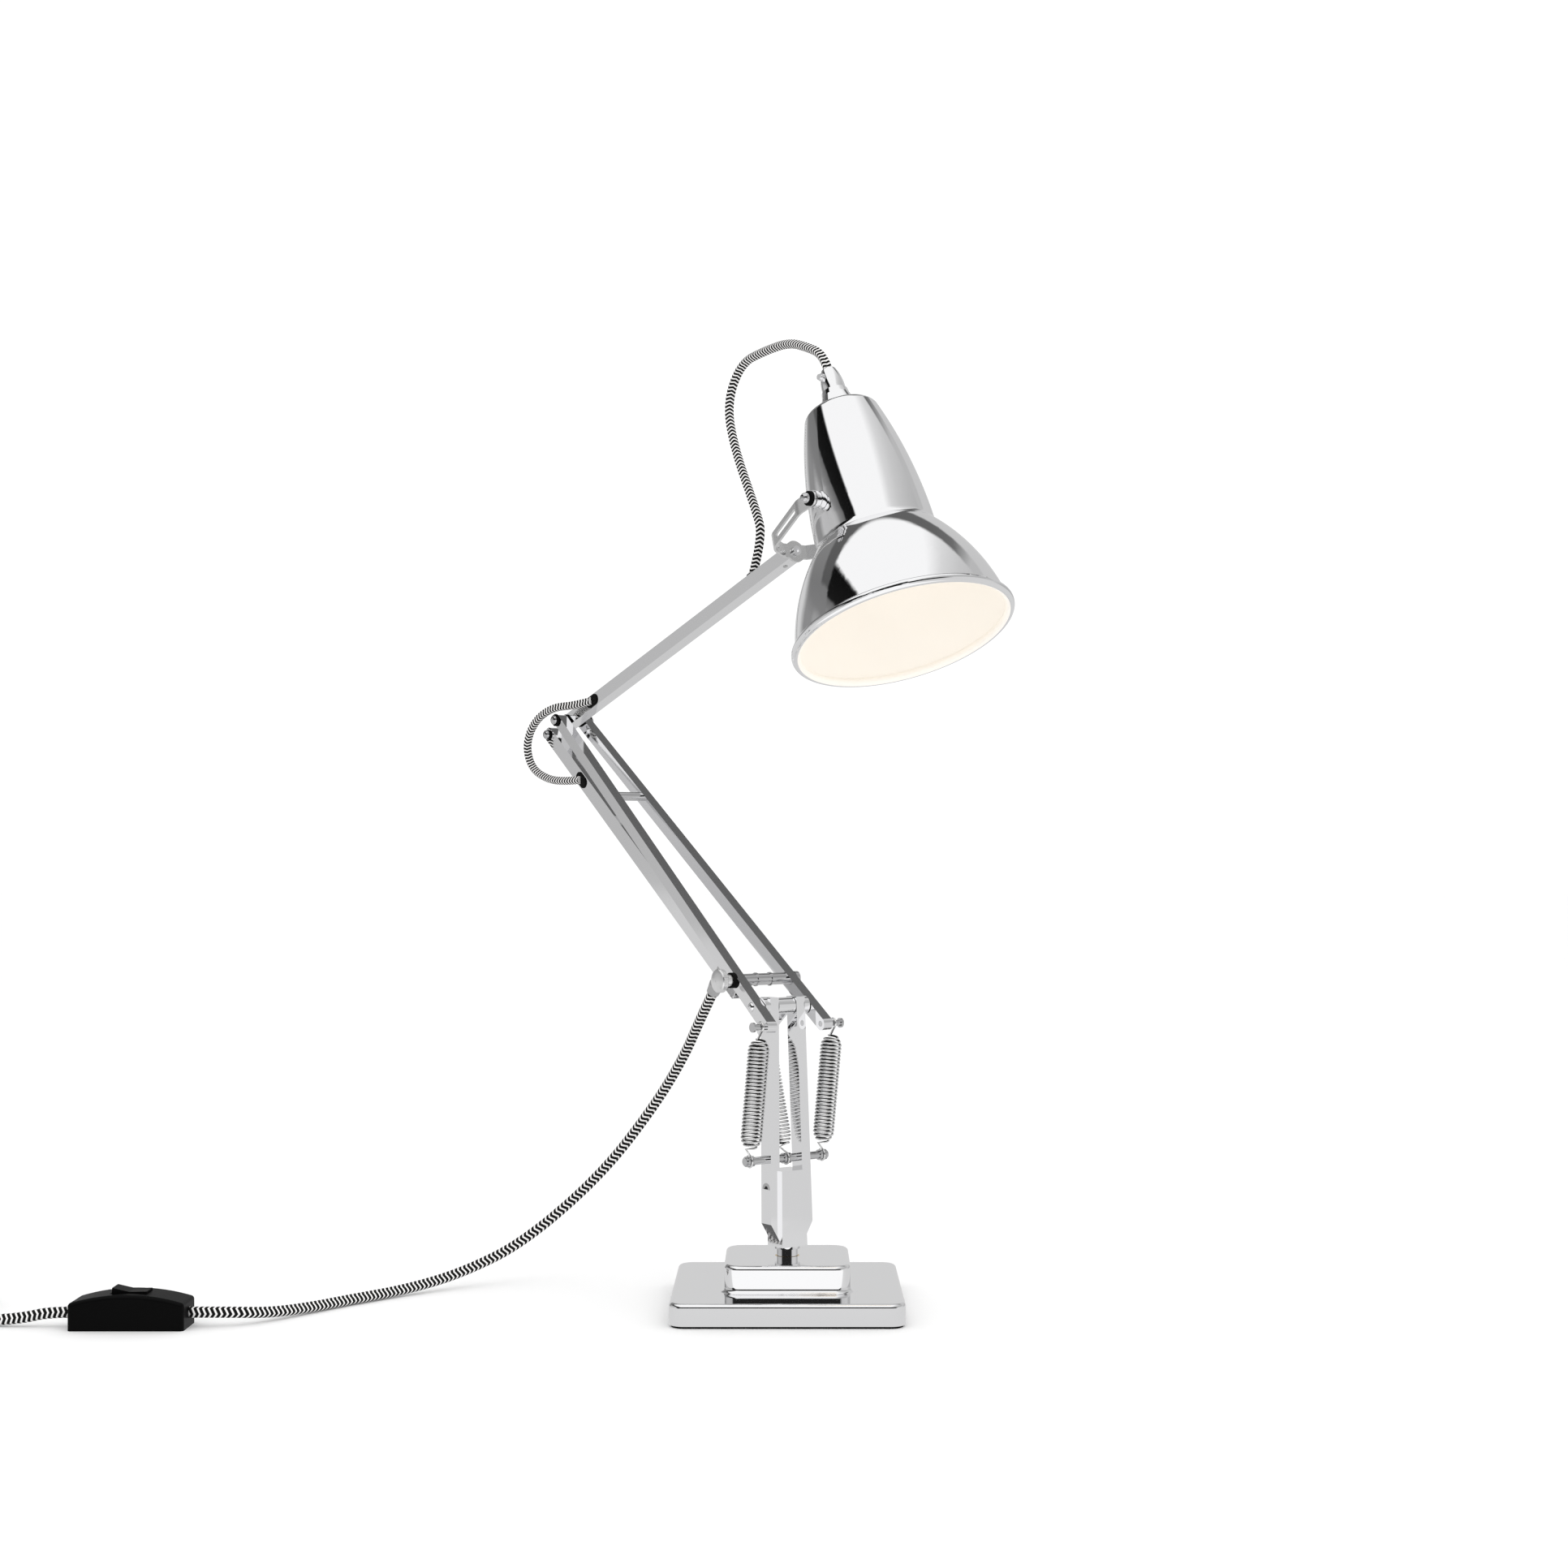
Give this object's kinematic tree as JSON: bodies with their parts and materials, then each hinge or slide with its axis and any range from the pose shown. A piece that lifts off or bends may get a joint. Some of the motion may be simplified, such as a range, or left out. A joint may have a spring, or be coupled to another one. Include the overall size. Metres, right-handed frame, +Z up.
{
  "type": "balanced-arm desk lamp",
  "caption": "Chrome desk lamp with a square stepped base, swivelling post, spring-balanced jointed arms, a tilting flared shade and a zigzag braided cord with inline switch.",
  "frame": {"origin": "middle of the base's underside, on the table", "axes": "+Z up, front of the base towards -Y, +X to the right seen from the front"},
  "size_m": [0.7833, 0.4083, 0.6394],
  "materials": {
    "chrome": "polished",
    "shade_chrome": "polished",
    "satin_metal": "satin",
    "spring_steel": "bright",
    "iron": "rough",
    "brass": "turned",
    "black_plastic": "matte",
    "pad": "matte",
    "braid": "woven black and white zigzag",
    "bulb_glass": "opal"
  },
  "bodies": {
    "base": {"base_pad": "pad", "base_cover": "chrome", "base_weight": "iron", "base_screws": "spring_steel", "swivel_bush": "brass"},
    "post": {"spindle": "chrome", "spindle_nut": "spring_steel", "post_block": "chrome", "upright_near": "chrome", "upright_far": "chrome", "post_screws": "chrome", "spring_rod": "chrome", "main_axle": "chrome", "pivot_spacers": "chrome", "spring_near": "spring_steel", "spring_far": "spring_steel", "spring_middle": "spring_steel", "cord_mains": "braid", "cord_feed": "braid", "cord_coil": "braid", "coil_tie": "black_plastic", "plug_body": "black_plastic", "plug_pins": "brass", "switch_body": "black_plastic"},
    "lower_arm": {"lower_bar_near": "chrome", "lower_bar_far": "chrome", "tie_shaft": "chrome", "tie_sleeves": "chrome", "knob_washer": "black_plastic", "top_spacer": "chrome", "tail_pins": "chrome", "cord_gland": "black_plastic"},
    "knob": {"friction_knob": "satin_metal"},
    "lever": {"spring_lever": "chrome"},
    "link": {"link_tube": "chrome", "link_strap": "chrome", "link_grommet": "black_plastic"},
    "upper_arm": {"upper_tube": "chrome", "elbow_tongue": "chrome", "elbow_pin": "chrome", "elbow_washers": "black_plastic", "link_pin": "chrome", "arm_grommet": "black_plastic", "head_grommet": "black_plastic", "head_plug": "chrome", "arm_screw": "chrome", "cord_elbow": "braid", "cord_head": "braid"},
    "yoke": {"yoke": "satin_metal", "yoke_screw": "chrome"},
    "shade": {"shade": "shade_chrome", "shade_bell": "shade_chrome", "shade_studs": "chrome", "shade_rings": "chrome", "stud_washers": "black_plastic", "neck_cup": "chrome", "cord_grip": "chrome", "lampholder": "black_plastic", "bulb": "bulb_glass"},
    "rocker": {"switch_rocker": "black_plastic"}
  },
  "joints": [
    {"name": "base_swivel", "type": "hinge", "parent": "base", "child": "post", "pos_m": [0, 0, 0.0333], "axis": [0, 0, 1], "range_deg": [-170, 170]},
    {"name": "shoulder", "type": "hinge", "parent": "post", "child": "lower_arm", "pos_m": [-0.00294, 0.00404, 0.198], "axis": [0.809, 0.5878, 0], "range_deg": [-24, 56], "deforming": ["spring_near", "spring_far", "spring_middle", "cord_mains"]},
    {"name": "elbow", "type": "hinge", "parent": "lower_arm", "child": "upper_arm", "pos_m": [-0.16361, 0.22518, 0.39953], "axis": [0.809, 0.5878, 0], "range_deg": [-50, 28], "deforming": ["cord_elbow", "spring_middle"]},
    {"name": "link_pivot", "type": "hinge", "parent": "upper_arm", "child": "link", "pos_m": [-0.17123, 0.23568, 0.38901], "axis": [0.809, 0.5878, 0], "range_deg": [-50, 50], "deforming": ["cord_elbow"]},
    {"name": "lever_pivot", "type": "hinge", "parent": "lower_arm", "child": "lever", "pos_m": [-0.00294, 0.00404, 0.198], "axis": [0.809, 0.5878, 0], "range_deg": [-50, 50], "deforming": ["spring_middle"]},
    {"name": "yoke_swivel", "type": "hinge", "parent": "upper_arm", "child": "yoke", "pos_m": [0.00456, -0.00627, 0.49748], "axis": [0.5661, -0.7792, 0.2689], "range_deg": [-55, 55], "deforming": ["cord_head"]},
    {"name": "shade_tilt", "type": "hinge", "parent": "yoke", "child": "shade", "pos_m": [0.05019, -0.06908, 0.51915], "axis": [0.809, 0.5878, 0], "range_deg": [-36, 34], "deforming": ["cord_head"]},
    {"name": "knob_turn", "type": "hinge", "parent": "lower_arm", "child": "knob", "pos_m": [-0.04046, 0.00464, 0.21462], "axis": [0.809, 0.5878, 0], "continuous": true},
    {"name": "rocker_tilt", "type": "hinge", "parent": "post", "child": "rocker", "pos_m": [-0.4145, -0.067, 0.019], "axis": [0, 1, 0], "range_deg": [-12, 0]}
  ],
  "couplings": [
    {"joint": "link_pivot", "follows": "elbow", "ratio": -1},
    {"joint": "lever_pivot", "follows": "elbow", "ratio": 1}
  ]
}
